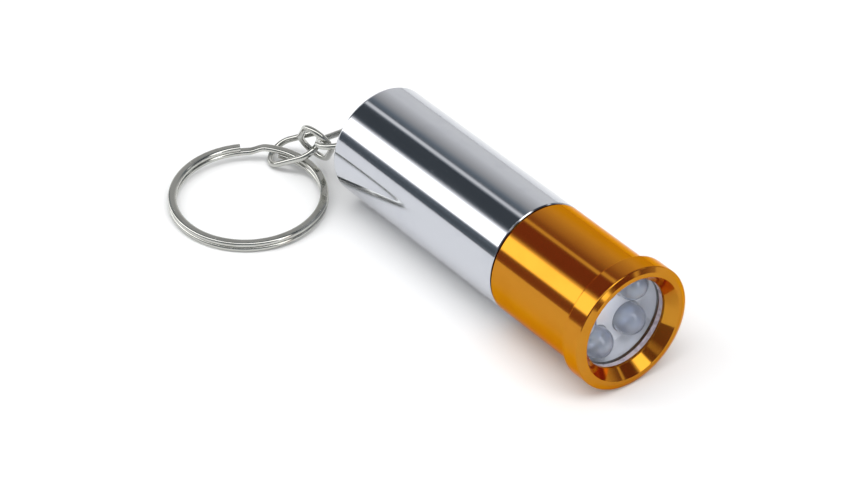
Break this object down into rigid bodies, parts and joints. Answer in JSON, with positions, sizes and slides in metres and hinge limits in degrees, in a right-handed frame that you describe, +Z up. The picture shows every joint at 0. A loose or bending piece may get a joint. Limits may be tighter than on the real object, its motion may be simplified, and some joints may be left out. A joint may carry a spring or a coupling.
{
  "type": "keychain flashlight",
  "caption": "Short round keychain flashlight with a screw-down flanged head, clear lamps behind a recessed lens, a wire chain and a split ring.",
  "frame": {"origin": "on the light's axis, at the middle of the silver barrel", "axes": "+X the way the light shines, +Z up as it lies on a table with the chain behind it"},
  "size_m": [0.0829, 0.0417, 0.0205],
  "materials": {
    "silver": "mirror polished, with fine lengthwise grain",
    "gold_anodised": "bright gold anodised",
    "seal_rubber": "smooth black",
    "steel_wire": "nickel plated wire",
    "ring_steel": "nickel plated flat wire",
    "spring_steel": "drawn wire",
    "gold_plated_spring": "flash gold plated",
    "sleeve_plastic": "milky white moulded",
    "cell_steel": "bright pressed can",
    "clear_lens": "clear polished disc",
    "led_epoxy": "water-clear with a cold tint",
    "reflector_chrome": "vacuum metallised",
    "tinned_copper": "tinned",
    "board_laminate": "white solder mask",
    "resistor_ceramic": "glazed"
  },
  "bodies": {
    "barrel": {"barrel": "silver", "neck_seal": "seal_rubber", "tail_spring": "spring_steel"},
    "battery_pack": {"battery_sleeve": "sleeve_plastic", "cell_1": "cell_steel", "cell_2": "cell_steel", "cell_3": "cell_steel", "cell_4": "cell_steel"},
    "head": {"head_shell": "gold_anodised", "lens": "clear_lens", "lens_gasket": "seal_rubber", "reflector": "reflector_chrome", "led_1": "led_epoxy", "led_2": "led_epoxy", "led_3": "led_epoxy", "led_4": "led_epoxy", "led_5": "led_epoxy", "led_leads": "tinned_copper", "led_board": "board_laminate", "board_resistor": "resistor_ceramic", "board_spring": "gold_plated_spring"},
    "tail_eye": {"tail_eye": "steel_wire", "eye_retainer": "steel_wire"},
    "tail_link": {"tail_link": "steel_wire"},
    "middle_link": {"middle_link": "steel_wire"},
    "ring_link": {"ring_link": "steel_wire"},
    "split_ring": {"split_ring": "ring_steel"}
  },
  "joints": [
    {"name": "battery_slide", "type": "slide", "parent": "barrel", "child": "battery_pack", "axis": [1, 0, 0], "range_m": [-0.0003, 0.0033], "deforming": ["tail_spring"]},
    {"name": "head_twist", "type": "hinge", "parent": "battery_pack", "child": "head", "pos_m": [0, 0, 0], "axis": [1, 0, 0], "range_deg": [-90, 1080]},
    {"name": "eye_swivel", "type": "hinge", "parent": "barrel", "child": "tail_eye", "pos_m": [-0.01955, 0, 0], "axis": [1, 0, 0], "continuous": true},
    {"name": "tail_link_swing", "type": "hinge", "parent": "tail_eye", "child": "tail_link", "pos_m": [-0.02243, 0.0002, -0.00195], "axis": [0.9781, -0.022, 0.207], "range_deg": [-36, 33]},
    {"name": "middle_link_swing", "type": "hinge", "parent": "tail_link", "child": "middle_link", "pos_m": [-0.02529, -0.00744, -0.00108], "axis": [-0.9483, 0.052, -0.3131], "range_deg": [-24, 60]},
    {"name": "ring_link_swing", "type": "hinge", "parent": "middle_link", "child": "ring_link", "pos_m": [-0.03299, -0.00533, -0.00538], "axis": [-0.118, -0.458, 0.8811], "range_deg": [-75, 10]},
    {"name": "ring_swing", "type": "hinge", "parent": "ring_link", "child": "split_ring", "pos_m": [-0.03607, -0.00963, -0.00843], "axis": [-0.761, 0.645, 0.07], "range_deg": [0, 90]}
  ],
  "couplings": [
    {"joint": "battery_slide", "follows": "head_twist", "m_per_rad": 0.00015915}
  ]
}
